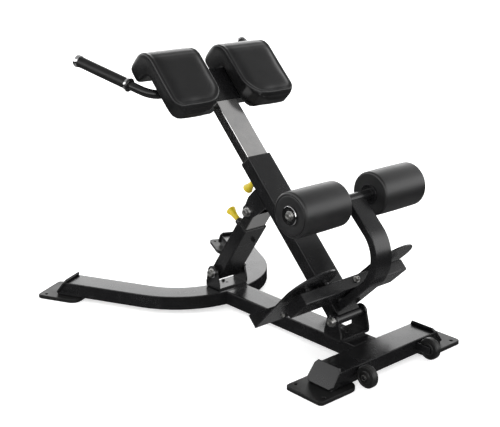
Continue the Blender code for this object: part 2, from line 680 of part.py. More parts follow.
# --- sliding head -----------------------------------------------------------
def head_tube(head):
    """Inner tube with its row of height holes, and the cross member on it."""
    inner = square_tube("inner_tube", head, plated(), INNER_W, INNER_H, INNER_WALL,
                        INNER_LO, INNER_HI, MID)
    for k in range(-3, 6):
        boolean(inner, cylinder("height_hole", head, None, HOLE_R, 12,
                                (0, BEAM_PIN - k * HOLE_PITCH, MID - INNER_H / 2), "Z", 12))
    lo, hi, down, up = MEMBER
    outline("pad_cross_member", head, black(),
            [rounded(hi - lo, up - down, 4.0), rounded(hi - lo - 6, up - down - 6, 2.0)],
            380.0, (0, (lo + hi) / 2, (down + up) / 2), SIDE)
    plate_lo, plate_hi, half, plate_t = MOUNT_PLATE
    outline("pad_mount_plate", head, black(), [rounded(2 * half, plate_hi - plate_lo, 12.0)],
            plate_t, (0, (plate_lo + plate_hi) / 2, up + GAP + plate_t / 2))


def pad_side_view(half, low_r, quarter):
    """Half of a pad's outline seen from the front, from its lower end up."""
    points = arc(half - low_r, PAD_LO + low_r, low_r, -quarter, 0.0, 5)
    return points + arc(half - PAD_HI_R, PAD_HI - PAD_HI_R, PAD_HI_R, 0.0, quarter, 3)


def hip_pad(head, side, label):
    """Backing board and the cushion that wraps over its top end."""
    middle = side * (PAD_IN + PAD_OUT) / 2
    board_lo = MEMBER[3] + MOUNT_PLATE[3] + 2 * GAP
    board_t = PAD_BACK - GAP - board_lo
    outline("pad_board_" + label, head, plastic(), [rounded(PAD_OUT - PAD_IN - 24, 170.0, 30.0, 3)],
            board_t, (middle, 893.0, board_lo + board_t / 2))

    back, front = PAD_BACK, PAD_FRONT
    loop = [(806, back), (980, back)]
    loop += [(989, back - 10), (1000, -36), (1008, -50), (1016, -53), (1050, -53), (1062, -50),
             (1068, -42), (1074, -24), (1077, -6), (1076, 12), (1071, 28), (1062.5, 43.5), (1050, 57),
             (1034, 68), (1015, front)]
    loop += [(824, front)] + arc(820, front - 24, 24, math.pi / 2, math.pi, 4) + [(797, back + 8)]
    pad = outline("hip_pad_" + label, head, cover(), [loop], PAD_OUT - PAD_IN,
                  (middle, 0, 0), SIDE, edge=8.0)
    half, quarter = (PAD_OUT - PAD_IN) / 2, math.pi / 2
    front_view = [(-px, py) for px, py in pad_side_view(half, PAD_LEG_R, quarter)[::-1]]
    front_view = pad_side_view(half, PAD_LO_R, quarter) + front_view
    front_view = [(side * px, py) for px, py in front_view]
    boolean(pad, outline("pad_shape_" + label, head, None, [front_view[::side]], 300.0, (middle, 0, 0)),
            "INTERSECT")


def handle_line(extra):
    """Centre line of the handle rail, with each end longer by extra."""
    y, z, _ = RAIL
    end = Vector(HANDLE_END)
    corner = Vector((HANDLE_X, y, z))
    way = (end - corner).normalized()
    half = [corner + way * t for t in ((end - corner).length - 8.0 + extra, 48.0)]
    start, stop = half[-1], corner - Vector((40.0, 0, 0))
    for i in range(1, 6):
        t = i / 6
        half.append(start * (1 - t) ** 2 + corner * 2 * t * (1 - t) + stop * t ** 2)
    half.append(stop)
    return half + [Vector((-p.x, p.y, p.z)) for p in half[::-1]]


def along_handle(side):
    """Frame turn that sends local Z out along a handle, and its far end."""
    end = Vector((side * HANDLE_END[0], *HANDLE_END[1:]))
    way = end - Vector((side * HANDLE_X, RAIL[0], RAIL[1]))
    return way.to_track_quat("Z", "Y").to_euler(), end, way.normalized()


def handles(head):
    rail = tube("handle_rail", head, black(), handle_line(0.0), RAIL[2], 4)
    boolean(rail, tube("rail_bore", head, None, handle_line(10.0), RAIL[2] - WALL, 1))
    for side, label in ((-1, "left"), (1, "right")):
        turn, end, way = along_handle(side)
        length = GRIP_FROM - GRIP_TO
        at = end - way * (GRIP_FROM + GRIP_TO) / 2
        r = GRIP_R
        flange = end - way * (GRIP_FROM + 14.0)
        ring = [(10, 4), (22, 4), (24, 2), (24, -2), (22, -4), (10, -4)]
        boolean(rail, turned("handle_flange_" + label, head, None, ring, flange, turn, 24), "UNION")
        bore = RAIL[2] + GAP
        profile = [(bore, length / 2), (r - 1, length / 2), (r, length / 2 - 2),
                   (r, 2 - length / 2), (r - 1, -length / 2), (bore, -length / 2)]
        turned("grip_" + label, head, rubber(), profile, at, turn, 24)
        cap = [(0, 9), (10, 7.5), (17, 3.5), (21.5, -3), (22.5, -9), (21, -15.6),
               (16.2, -15.6), (16.2, -7.6), (0, -7.6)]
        turned("handle_cap_" + label, head, chrome(), cap, end, turn, 24)
        ring = [(bore, 3.5), (20, 3.5), (20.8, 0), (20, -3.5), (bore, -3.5)]
        turned("grip_ring_" + label, head, chrome(), ring, end - way * (GRIP_FROM + 4.0), turn, 24)


def strut_geometry():
    """Lean of the strut and its reach from the floor hinge to the beam hinge."""
    c, s = math.cos(BEAM_TILT), math.sin(BEAM_TILT)
    ty = FRONT_PIVOT[0] + TOP_PIVOT[0] * c - TOP_PIVOT[1] * s
    tz = FRONT_PIVOT[1] + TOP_PIVOT[0] * s + TOP_PIVOT[1] * c
    dy, dz = ty - REAR_PIVOT[0], tz - REAR_PIVOT[1]
    span = math.hypot(dy, dz)
    reach = math.sqrt(span ** 2 - STRUT_OFF ** 2)
    return math.atan2(dz, dy) - math.atan2(STRUT_OFF, reach), reach


def build():
    clear_scene()
    base = empty("base_frame", DATUM_Y, 0.0, 0.0)
    floor_frame(base)
    clevises(base)
    for side, label in ((-1, "left"), (1, "right")):
        wheel_set(base, side, label)

    beam = empty("beam_axis", *FRONT_PIVOT, BEAM_TILT, base)
    sleeve(beam)
    roller_arm(beam)
    footrest(beam)
    strut_bracket(beam)
    pull_pin("beam", beam, BEAM_PIN, BACK)

    lean, reach = strut_geometry()
    strut = empty("strut_axis", *REAR_PIVOT, lean, base)
    rod = empty("strut_slide", *REAR_PIVOT, lean, base)
    strut_parts(strut, rod, reach)

    head = empty("head_slide", *FRONT_PIVOT, BEAM_TILT, base)
    head_tube(head)
    for side, label in ((-1, "left"), (1, "right")):
        hip_pad(head, side, label)
    handles(head)


build()
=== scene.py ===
import math

import bmesh
import bpy
import numpy as np
from mathutils import Matrix, Vector


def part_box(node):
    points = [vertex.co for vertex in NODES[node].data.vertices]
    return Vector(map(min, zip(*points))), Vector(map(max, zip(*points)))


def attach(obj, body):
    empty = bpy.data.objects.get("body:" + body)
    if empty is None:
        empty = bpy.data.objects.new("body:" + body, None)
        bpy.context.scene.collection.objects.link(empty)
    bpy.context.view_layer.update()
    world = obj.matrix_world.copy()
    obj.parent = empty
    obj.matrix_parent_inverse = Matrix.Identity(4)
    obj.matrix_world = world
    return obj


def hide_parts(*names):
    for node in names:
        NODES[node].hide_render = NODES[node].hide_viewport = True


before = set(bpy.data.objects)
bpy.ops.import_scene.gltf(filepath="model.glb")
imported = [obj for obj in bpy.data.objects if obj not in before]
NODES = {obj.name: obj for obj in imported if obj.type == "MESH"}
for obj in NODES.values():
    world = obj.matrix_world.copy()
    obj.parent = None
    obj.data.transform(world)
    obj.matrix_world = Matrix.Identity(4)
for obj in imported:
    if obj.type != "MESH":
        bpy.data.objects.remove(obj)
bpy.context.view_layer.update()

# ---- Places in the CAD's frame, metres -------------------------------------------------------
ACROSS = Vector((1.0, 0.0, 0.0))
UP = Vector((0.0, 0.0, 1.0))
SIDES = (("left", -1), ("right", 1))            # each side's name, and its sign along ACROSS
BEAM_PIVOT = Vector((0.0, -0.43939, 0.1258))    # the hinge at the beam's foot
ALONG = Vector((0.0, 0.700909, 0.71325))        # up the beam
OUT = Vector((0.0, -0.71325, 0.700909))         # out of the beam's upper face
STRUT_PIVOT = Vector((0.0, 0.15261, 0.1243))    # the strut's lower pin
STRUT_UP = Vector((0.0, -0.565587, 0.824689))
STRUT_OUT = Vector((0.0, -0.824689, -0.565587))

CAMERA_AT = (-2.1972, -2.43419, 1.3779)
CAMERA_TURN, CAMERA_RISE = math.radians(-41.76), math.radians(17.13)
LENS, SENSOR = 71.87, 36.0


def beam_point(x, along, out):
    """A point given in the beam's own directions, in millimetres."""
    return BEAM_PIVOT + ACROSS * x * 0.001 + ALONG * along * 0.001 + OUT * out * 0.001


def strut_point(x, along, out):
    """A point given in the strut's own directions, in millimetres."""
    return STRUT_PIVOT + ACROSS * x * 0.001 + STRUT_UP * along * 0.001 + STRUT_OUT * out * 0.001


# ---- Materials -------------------------------------------------------------------------------
class Look:
    """A Principled material whose colour, roughness and relief come from noise in object space."""

    def __init__(self, name, **sockets):
        self.material = bpy.data.materials.new(name)
        self.material.use_nodes = True
        self.tree = self.material.node_tree
        self.shader = self.tree.nodes["Principled BSDF"]
        for socket, value in sockets.items():
            self.shader.inputs[socket.replace("_", " ").title().replace("Ior", "IOR")].default_value = value
        self.place = self.add("ShaderNodeTexCoord").outputs["Object"]
        self.normal = None

    def add(self, kind, **values):
        node = self.tree.nodes.new(kind)
        for key, value in values.items():
            setattr(node, key, value)
        return node

    def join(self, source, target):
        self.tree.links.new(source, target)

    def noise(self, scale, detail=3.0, rough=0.55, stretch=None):
        node = self.add("ShaderNodeTexNoise")
        node.inputs["Scale"].default_value = scale
        node.inputs["Detail"].default_value = detail
        node.inputs["Roughness"].default_value = rough
        place = self.place
        if stretch:
            mapping = self.add("ShaderNodeMapping")
            mapping.inputs["Scale"].default_value = stretch
            self.join(place, mapping.inputs["Vector"])
            place = mapping.outputs["Vector"]
        self.join(place, node.inputs["Vector"])
        return node.outputs["Fac"]

    def cells(self, scale, feature="F1"):
        node = self.add("ShaderNodeTexVoronoi", feature=feature)
        node.inputs["Scale"].default_value = scale
        self.join(self.place, node.inputs["Vector"])
        return node.outputs["Distance"]

    def span(self, value, low, high, to_low=0.0, to_high=1.0):
        node = self.add("ShaderNodeMapRange")
        for key, number in (("From Min", low), ("From Max", high), ("To Min", to_low), ("To Max", to_high)):
            node.inputs[key].default_value = number
        self.join(value, node.inputs["Value"])
        return node.outputs["Result"]

    def math(self, how, first, second):
        node = self.add("ShaderNodeMath", operation=how)
        for i, value in enumerate((first, second)):
            if isinstance(value, (int, float)):
                node.inputs[i].default_value = value
            else:
                self.join(value, node.inputs[i])
        return node.outputs["Value"]

    def mix(self, share, first, second):
        node = self.add("ShaderNodeMix", data_type="RGBA")
        self.join(share, node.inputs["Factor"])
        for key, value in (("A", first), ("B", second)):
            socket = [s for s in node.inputs if s.name == key and s.type == "RGBA"][0]
            if isinstance(value, tuple):
                socket.default_value = (*value, 1.0)
            else:
                self.join(value, socket)
        return [s for s in node.outputs if s.type == "RGBA"][0]

    def soft_edges(self, radius):
        """Rounds the shading of hard edges, and gives how near each point is to one."""
        bevel = self.add("ShaderNodeBevel", samples=4)
        bevel.inputs["Radius"].default_value = radius
        self.normal = bevel.outputs["Normal"]
        flat = self.add("ShaderNodeNewGeometry").outputs["Normal"]
        dot = self.add("ShaderNodeVectorMath", operation="DOT_PRODUCT")
        self.join(self.normal, dot.inputs[0])
        self.join(flat, dot.inputs[1])
        return self.span(dot.outputs["Value"], 0.99, 0.85)

    def relief(self, height, depth, strength=1.0):
        node = self.add("ShaderNodeBump")
        node.inputs["Distance"].default_value = depth
        node.inputs["Strength"].default_value = strength
        self.join(height, node.inputs["Height"])
        if self.normal is not None:
            self.join(self.normal, node.inputs["Normal"])
        self.normal = node.outputs["Normal"]

    def finish(self, colour, rough):
        self.join(colour, self.shader.inputs["Base Color"])
        self.join(rough, self.shader.inputs["Roughness"])
        if self.normal is not None:
            self.join(self.normal, self.shader.inputs["Normal"])
        return self.material


def powder_coat():
    look = Look("black_powder_coat_look", ior=1.46)
    edge = look.soft_edges(0.0018)
    blotch = look.noise(14.0, 5.0, 0.6)
    fine = look.noise(420.0, 2.0)
    # Hard edges lightened toward grey in noisy patches: partly edge wear, partly a painted highlight along
    # the edges.
    edge_wear_and_highlight = look.math("MULTIPLY", edge, look.span(look.noise(60.0, 6.0, 0.7), 0.5, 0.7))
    colour = look.mix(look.span(blotch, 0.3, 0.7), (0.0042, 0.0042, 0.0045), (0.0075, 0.0075, 0.008))
    colour = look.mix(look.math("MULTIPLY", edge_wear_and_highlight, 0.6), colour, (0.05, 0.05, 0.05))
    rough = look.math("ADD", look.span(blotch, 0.3, 0.7, 0.20, 0.27), look.span(fine, 0.3, 0.7, -0.02, 0.03))
    look.relief(look.noise(380.0, 2.0), 0.00003, 0.15)
    return look.finish(colour, rough)


def rubber():
    look = Look("black_rubber_look", ior=1.38)
    look.soft_edges(0.0015)
    blotch = look.noise(25.0, 5.0, 0.65)
    dust = look.span(look.noise(9.0, 6.0, 0.7), 0.52, 0.75)
    colour = look.mix(look.span(blotch, 0.3, 0.7), (0.004, 0.004, 0.004), (0.007, 0.007, 0.007))
    colour = look.mix(look.math("MULTIPLY", dust, 0.3), colour, (0.015, 0.0145, 0.014))
    look.relief(look.noise(900.0, 3.0, 0.7), 0.0001, 0.4)
    return look.finish(colour, look.span(blotch, 0.3, 0.7, 0.36, 0.48))


def chrome():
    look = Look("chrome_look", metallic=1.0)
    look.soft_edges(0.0006)
    smudge = look.noise(45.0, 5.0, 0.65)
    hair = look.noise(260.0, 2.0, 0.5, (1.0, 1.0, 9.0))
    colour = look.mix(look.span(smudge, 0.3, 0.7), (0.66, 0.66, 0.67), (0.78, 0.78, 0.78))
    rough = look.math("ADD", look.span(smudge, 0.35, 0.7, 0.05, 0.16), look.span(hair, 0.4, 0.7, 0.0, 0.04))
    look.relief(hair, 0.00001, 0.4)
    return look.finish(colour, rough)


def zinc():
    look = Look("zinc_steel_look", metallic=1.0)
    look.soft_edges(0.0004)
    crystal = look.cells(260.0)
    blotch = look.noise(80.0, 4.0)
    colour = look.mix(look.span(blotch, 0.3, 0.7), (0.26, 0.26, 0.255), (0.38, 0.375, 0.36))
    rough = look.span(crystal, 0.0, 0.8, 0.26, 0.42)
    look.relief(look.noise(700.0, 2.0), 0.00004, 0.5)
    return look.finish(colour, rough)


def plated():
    """Satin plated tube, brushed along its length, with light scuffs from the sliding collar."""
    look = Look("plated_tube_look", metallic=1.0)
    edge = look.soft_edges(0.0008)
    turned = look.add("ShaderNodeMapping")
    turned.inputs["Rotation"].default_value = (math.radians(-45.5), 0.0, 0.0)
    turned.inputs["Scale"].default_value = (1.0, 0.03, 1.0)
    look.join(look.place, turned.inputs["Vector"])
    whole, look.place = look.place, turned.outputs["Vector"]
    hair = look.noise(900.0, 3.0, 0.6)
    scuff = look.noise(160.0, 5.0, 0.6)
    look.place = whole
    blotch = look.noise(18.0, 5.0, 0.6)
    colour = look.mix(look.span(blotch, 0.3, 0.7), (0.60, 0.60, 0.60), (0.70, 0.69, 0.68))
    colour = look.mix(look.span(scuff, 0.62, 0.75, 0.0, 0.35), colour, (0.42, 0.41, 0.40))
    # Lighter toward near white along hard edges: a painted highlight on the edges.
    colour = look.mix(look.math("MULTIPLY", edge, 0.4), colour, (0.85, 0.85, 0.84))
    rough = look.math("ADD", look.span(blotch, 0.3, 0.7, 0.13, 0.18), look.span(hair, 0.3, 0.7, -0.02, 0.04))
    look.relief(hair, 0.00001, 0.25)
    return look.finish(colour, rough)


def leather():
    look = Look("pad_cover_look", ior=1.40)
    grain = look.cells(620.0, "SMOOTH_F1")
    crease = look.noise(240.0, 4.0, 0.65)
    blotch = look.noise(11.0, 5.0, 0.6)
    colour = look.mix(look.span(blotch, 0.3, 0.7), (0.0038, 0.0038, 0.0040), (0.0065, 0.0065, 0.0068))
    colour = look.mix(look.span(grain, 0.0, 0.16, 0.6, 0.0), colour, (0.002, 0.002, 0.002))
    rough = look.math("ADD", look.span(blotch, 0.3, 0.7, 0.29, 0.35), look.span(grain, 0.1, 0.7, -0.03, 0.03))
    look.relief(grain, 0.00012, 0.4)
    look.relief(crease, 0.0001, 0.3)
    return look.finish(colour, rough)


def foam_skin():
    """The smooth skin of a moulded foam roller, with pores and faint handling marks."""
    look = Look("foam_roller_look", ior=1.46)
    pore = look.cells(760.0)
    blotch = look.noise(13.0, 5.0, 0.6)
    rubbed = look.span(look.noise(32.0, 6.0, 0.7), 0.5, 0.72)
    colour = look.mix(look.span(blotch, 0.3, 0.7), (0.0060, 0.0060, 0.0063), (0.0095, 0.0095, 0.0098))
    colour = look.mix(look.math("MULTIPLY", rubbed, 0.3), colour, (0.014, 0.014, 0.0143))
    rough = look.math("ADD", look.span(blotch, 0.3, 0.7, 0.35, 0.42), look.math("MULTIPLY", rubbed, 0.05))
    look.relief(pore, 0.00012, 0.5)
    look.relief(look.noise(90.0, 4.0), 0.0003, 0.25)
    return look.finish(colour, rough)


def black_plastic():
    look = Look("black_plastic_look", ior=1.46)
    look.soft_edges(0.0006)
    blotch = look.noise(40.0, 4.0)
    colour = look.mix(look.span(blotch, 0.3, 0.7), (0.006, 0.006, 0.006), (0.011, 0.011, 0.011))
    look.relief(look.cells(900.0), 0.00008, 0.5)
    return look.finish(colour, look.span(blotch, 0.3, 0.7, 0.36, 0.46))


def yellow_plastic():
    look = Look("yellow_plastic_look", ior=1.40, subsurface_weight=0.05, subsurface_scale=0.004)
    look.soft_edges(0.0006)
    blotch = look.noise(55.0, 4.0)
    grime = look.span(look.noise(120.0, 6.0, 0.7), 0.55, 0.75)
    colour = look.mix(look.span(blotch, 0.3, 0.7), (0.40, 0.30, 0.008), (0.50, 0.385, 0.014))
    colour = look.mix(look.math("MULTIPLY", grime, 0.25), colour, (0.24, 0.16, 0.02))
    look.relief(look.noise(800.0, 2.0), 0.00006, 0.5)
    return look.finish(colour, look.span(blotch, 0.3, 0.7, 0.28, 0.38))


LOOKS = {
    "black_powder_coat": powder_coat(), "black_rubber": rubber(), "chrome": chrome(), "zinc_steel": zinc(),
    "plated_tube": plated(), "foam_roller": foam_skin(), "pad_cover": leather(),
    "black_plastic": black_plastic(), "yellow_plastic": yellow_plastic(),
}


# ---- Mesh helpers ----------------------------------------------------------------------------
WELD = 0.00002                      # points closer than this are one
GENTLE_TURN = math.radians(31)      # faces that meet at less than this are shaded as one surface


def shading_tree():
    """Geometry nodes that weld the facets and shade smooth wherever they turn gently."""
    tree = bpy.data.node_groups.new("shade_by_angle", "GeometryNodeTree")
    for way in ("INPUT", "OUTPUT"):
        tree.interface.new_socket("Geometry", in_out=way, socket_type="NodeSocketGeometry")
    node = tree.nodes.new
    start, end = node("NodeGroupInput"), node("NodeGroupOutput")
    weld = node("GeometryNodeMergeByDistance")
    weld.inputs["Distance"].default_value = WELD
    faces, edges = node("GeometryNodeSetShadeSmooth"), node("GeometryNodeSetShadeSmooth")
    edges.domain = "EDGE"
    angle, gentle = node("GeometryNodeInputMeshEdgeAngle"), node("FunctionNodeCompare")
    gentle.operation = "LESS_THAN"
    gentle.inputs["B"].default_value = GENTLE_TURN
    for source, target in (
        (start.outputs[0], weld.inputs["Geometry"]), (weld.outputs[0], faces.inputs["Geometry"]),
        (faces.outputs[0], edges.inputs["Geometry"]), (angle.outputs["Unsigned Angle"], gentle.inputs["A"]),
        (gentle.outputs[0], edges.inputs["Shade Smooth"]), (edges.outputs[0], end.inputs[0]),
    ):
        tree.links.new(source, target)
    return tree


SHADING = shading_tree()


def shade(obj):
    obj.modifiers.new("shade", "NODES").node_group = SHADING
    obj.modifiers.new("weighted", "WEIGHTED_NORMAL").keep_sharp = True


def piece(name, mesh, slot, body):
    """A new object from a bmesh or a mesh in the CAD's frame, with its finish, riding on its body."""
    if isinstance(mesh, bmesh.types.BMesh):
        data = bpy.data.meshes.new(name)
        bmesh.ops.recalc_face_normals(mesh, faces=mesh.faces)
        mesh.to_mesh(data)
        mesh.free()
        mesh = data
    mesh.name = name
    mesh.materials.clear()
    mesh.materials.append(LOOKS[slot])
    obj = bpy.data.objects.new(name, mesh)
    bpy.context.scene.collection.objects.link(obj)
    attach(obj, body)
    return obj


def frame_on(origin, axis):
    """A matrix whose Z is axis at origin."""
    z = Vector(axis).normalized()
    x = (ACROSS if abs(z.x) < 0.9 else ALONG).cross(z).normalized()
    return Matrix.Translation(origin) @ Matrix((x, z.cross(x), z)).transposed().to_4x4()


def turn(mesh, profile, place, sides):
    """Adds a closed solid of revolution: profile is (radius, height) pairs about place's Z."""
    rings = []
    for radius, height in profile:
        if radius < 1e-7:
            rings.append([mesh.verts.new(place @ Vector((0, 0, height)))])
        else:
            turns = [2 * math.pi * i / sides for i in range(sides)]
            rings.append([mesh.verts.new(place @ Vector((radius * math.cos(a), radius * math.sin(a), height)))
                          for a in turns])
    pairs = list(zip(rings, rings[1:]))
    if len(rings[0]) > 1 and len(rings[-1]) > 1:
        pairs.append((rings[-1], rings[0]))
    for low, high in pairs:
        for i in range(sides):
            j = (i + 1) % sides
            loop = [low[i % len(low)], low[j % len(low)], high[j % len(high)], high[i % len(high)]]
            loop = [v for k, v in enumerate(loop) if v not in loop[:k]]
            if len(loop) > 2:
                mesh.faces.new(loop)


# ---- CAD nodes: finishes and shading ---------------------------------------------------------
def dress(node):
    data = node.data
    for i, material in enumerate(data.materials):
        data.materials[i] = LOOKS[material.name.split(".")[0]]
    shade(node)


for cad in NODES.values():
    dress(cad)


# ---- Hip pads --------------------------------------------------------------------------------
PAD_HALF, PAD_MIDDLE = 0.103, 0.160             # half width, and how far its middle is from the beam's
PANEL_SIDE, PANEL_LOW = 0.009, 0.8255           # the front panel's edge: in from the side, and along the beam
PANEL_OUTER_R, PANEL_INNER_R = 0.026, 0.070     # its lower corners
PAD_BACK = 0.0165                               # the pad's back face, out from the beam's middle
BEND_AT = (1.017, 0.014)                        # the middle of the bend over the top: along, out

VOXEL = 0.0045                                  # the cushion's mesh
HELD_DEPTH, HELD_FADE = 0.010, 0.006            # the cover is pinned from the back face out to here,
HELD_LENGTH = 0.985                             # and no further along the beam than this
SWELL = 0.006                                   # the most that the cover rises
SWELL_STEPS, SWELL_ROUNDS = 20, 24              # frames of cloth, and rounds of evening
EVENING = 0.6                                   # the neighbours' share in each round

BEAD_RISE, BEAD_AT, BEAD_WIDTH = 4.4, 5.5, 5.5  # the raised border, in millimetres out from the panel's edge
PANEL_SINK, SINK_REACH, SINK_SIDE = 1.0, 14.0, 1.8      # the panel sinks; the reach is shorter outside
FALL, FALL_FROM, FALL_OVER, FALL_POWER = 9.0, 8.0, 22.0, 1.5    # the sides fall away beyond the border
BEAD_ROUNDS = 6
FADE_END, FADE_ANGLE = 78.0, 45.0               # the border fades over the top, in degrees round the bend
FRONT_ONLY = 0.02                               # it is only on points this far out from the beam's middle,
FACE_SLACK, FACE_FADE = 0.05, 0.5               # and fades as they face away from the front
TOP_BLEND = 0.01                                # over this length the front starts to turn with the bend


def evaluated(obj):
    """The object's mesh with its modifiers applied, as a new mesh."""
    return bpy.data.meshes.new_from_object(obj.evaluated_get(bpy.context.evaluated_depsgraph_get()))


def points_of(mesh, key="co"):
    """One row per vertex: its place, or with key="normal" its normal."""
    found = np.zeros(len(mesh.vertices) * 3, np.float32)
    mesh.vertices.foreach_get(key, found)
    return found.reshape(-1, 3).astype(float)


def move_points(mesh, points):
    mesh.vertices.foreach_set("co", points.astype(np.float32).ravel())
    mesh.update()


def bake(obj, *modifiers):
    """Runs modifiers over the object and keeps their result as its mesh."""
    for kind, values in modifiers:
        modifier = obj.modifiers.new(kind.lower(), kind)
        for key, value in values.items():
            setattr(modifier, key, value)
    mesh = evaluated(obj)
    obj.modifiers.clear()
    obj.data = mesh


def local(points):
    """Points as three rows: across, along and out of the beam."""
    rel = points - np.array(BEAM_PIVOT)
    return rel[:, 0], rel @ np.array(ALONG), rel @ np.array(OUT)


def evened(mesh, values, rounds):
    """Values at the points, averaged over their neighbours again and again, so that the cover is taut."""
    ends = np.zeros(len(mesh.edges) * 2, np.int32)
    mesh.edges.foreach_get("vertices", ends)
    first, second = ends.reshape(-1, 2).T
    count = np.bincount(ends, minlength=len(values)).clip(1)
    for _ in range(rounds):
        total = np.bincount(first, values[second], len(values))
        total += np.bincount(second, values[first], len(values))
        values = (1 - EVENING) * values + EVENING * total / count
    return values


def swell(obj, held):
    """Inflates the closed mesh as cloth, pinned where held is near 1. Points move along their normals."""
    group = obj.vertex_groups.new(name="held")
    for i, weight in enumerate(held):
        if weight > 0.01:
            group.add([i], float(weight), "REPLACE")
    before = points_of(obj.data)
    cloth = obj.modifiers.new("cloth", "CLOTH")
    cloth.settings.quality = 5
    cloth.settings.mass = 0.25
    cloth.settings.tension_stiffness = cloth.settings.compression_stiffness = 28.0
    cloth.settings.shear_stiffness = 12.0
    cloth.settings.bending_stiffness = 2.0
    cloth.settings.use_pressure = True
    cloth.settings.uniform_pressure_force = 4.0
    cloth.settings.effector_weights.gravity = 0.0
    cloth.settings.vertex_group_mass = "held"
    cloth.point_cache.frame_start, cloth.point_cache.frame_end = 1, SWELL_STEPS
    for step in range(1, SWELL_STEPS + 1):
        bpy.context.scene.frame_set(step)
    mesh = evaluated(obj)
    normals = points_of(obj.data, "normal")
    rise = np.clip(((points_of(mesh) - before) * normals).sum(axis=1), 0.0, SWELL)
    moved = normals * evened(obj.data, rise, SWELL_ROUNDS)[:, None]
    obj.modifiers.clear()
    obj.vertex_groups.clear()
    bpy.context.scene.frame_set(1)
    obj.data = mesh
    move_points(mesh, before + moved)


def border_distance(x, along, side):
    """How far a point lies outside the front panel's edge, which is open at the top. Negative inside."""
    inward = -(x - side * PAD_MIDDLE) * side
    radius = np.where(inward > 0, PANEL_INNER_R, PANEL_OUTER_R)
    across = np.abs(inward) - (PAD_HALF - PANEL_SIDE - radius)
    down = (PANEL_LOW + radius) - along
    inside = np.minimum(np.maximum(across, down), 0.0)
    beyond = np.hypot(np.maximum(across, 0.0), np.maximum(down, 0.0))
    return beyond + inside - radius


def bead(obj, side):
    """Raises the moulded border of the front panel and sinks the panel a little inside it."""
    mesh = obj.data
    points = points_of(mesh)
    normals = points_of(mesh, "normal")
    x, along, out = local(points)
    bend = np.stack([along - BEND_AT[0], out - BEND_AT[1]], axis=1)
    reach = np.maximum(np.linalg.norm(bend, axis=1), 1e-6)
    over = np.clip((along - BEND_AT[0]) / TOP_BLEND, 0.0, 1.0)[:, None]
    face = (1 - over) * np.array([0.0, 1.0]) + over * bend / reach[:, None]
    facing = normals @ np.array(ALONG) * face[:, 0] + normals @ np.array(OUT) * face[:, 1]
    angle = np.degrees(np.arctan2(bend[:, 0], np.maximum(bend[:, 1], 1e-6)))
    fade = np.clip((FADE_END - angle) / FADE_ANGLE, 0.0, 1.0) * (out > FRONT_ONLY)
    share = np.clip((facing + FACE_SLACK) / FACE_FADE, 0.0, 1.0) * fade
    edge = border_distance(x, along, side) * 1000.0
    sunk = np.exp(-(np.maximum(-edge, edge * SINK_SIDE) / SINK_REACH) ** 2)
    lift = BEAD_RISE * np.exp(-((edge - BEAD_AT) / BEAD_WIDTH) ** 2) - PANEL_SINK * sunk
    lift -= FALL * (np.clip(edge - FALL_FROM, 0.0, FALL_OVER) / FALL_OVER) ** FALL_POWER
    moved = normals * evened(mesh, lift * share * 0.001, BEAD_ROUNDS)[:, None]
    move_points(mesh, points + moved)


def hip_pad(label, side):
    """A cushion made from the plain pad: an even mesh, swollen as cloth, then given its moulded border."""
    source = NODES["hip_pad_" + label]
    mesh = bmesh.new()
    mesh.from_mesh(source.data)
    bmesh.ops.remove_doubles(mesh, verts=mesh.verts, dist=WELD)
    data = bpy.data.meshes.new("cushion_" + label)
    mesh.to_mesh(data)
    mesh.free()
    obj = bpy.data.objects.new("cushion_" + label, data)
    bpy.context.scene.collection.objects.link(obj)
    bake(obj, ("REMESH", {"mode": "VOXEL", "voxel_size": VOXEL}),
         ("SMOOTH", {"factor": 0.5, "iterations": 3}),
         ("DISPLACE", {"strength": -0.0005, "mid_level": 0.0}))
    along, out = local(points_of(obj.data))[1:]
    held = np.clip((PAD_BACK + HELD_DEPTH - out) / HELD_FADE, 0.0, 1.0) * (along < HELD_LENGTH)
    swell(obj, held)
    bake(obj, ("SMOOTH", {"factor": 0.5, "iterations": 1}), ("SUBSURF", {"levels": 1, "render_levels": 1}))
    bead(obj, side)
    cushion = piece("hip_cushion_" + label, obj.data, "pad_cover", "head")
    bpy.data.objects.remove(obj)
    for polygon in cushion.data.polygons:
        polygon.use_smooth = True
    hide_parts("hip_pad_" + label)


for name, sign in SIDES:
    hip_pad(name, sign)


# ---- Foam rollers ----------------------------------------------------------------------------
ROLLER_BORE, ROLLER_RIM = 0.0176, 0.0075        # radii of the bore and of the rounded rims
ROLLER_CROWN, BARREL_STEPS = 0.0008, 24         # how far the barrel bulges in its middle
BORE_LIP = 0.0015
# The outer end face, with heights above the end: the first list is measured in from the roller's radius.
RIM_GROOVE = ((0.0085, -0.0002), (0.0092, -0.0016), (0.0100, -0.0022), (0.0110, -0.0016), (0.0120, 0.0004),
              (0.0140, 0.0010), (0.0180, 0.0012))
DISH = ((0.0400, 0.0008), (0.0330, 0.0002), (0.0318, -0.0012), (ROLLER_BORE + BORE_LIP, -0.0014),
        (ROLLER_BORE, -0.0030))


def rounded_corner(centre, radius, start, stop, steps=7):
    """Points on an arc from start to stop, in degrees."""
    angles = [math.radians(start + (stop - start) * i / steps) for i in range(steps + 1)]
    return [(centre[0] + radius * math.cos(a), centre[1] + radius * math.sin(a)) for a in angles]


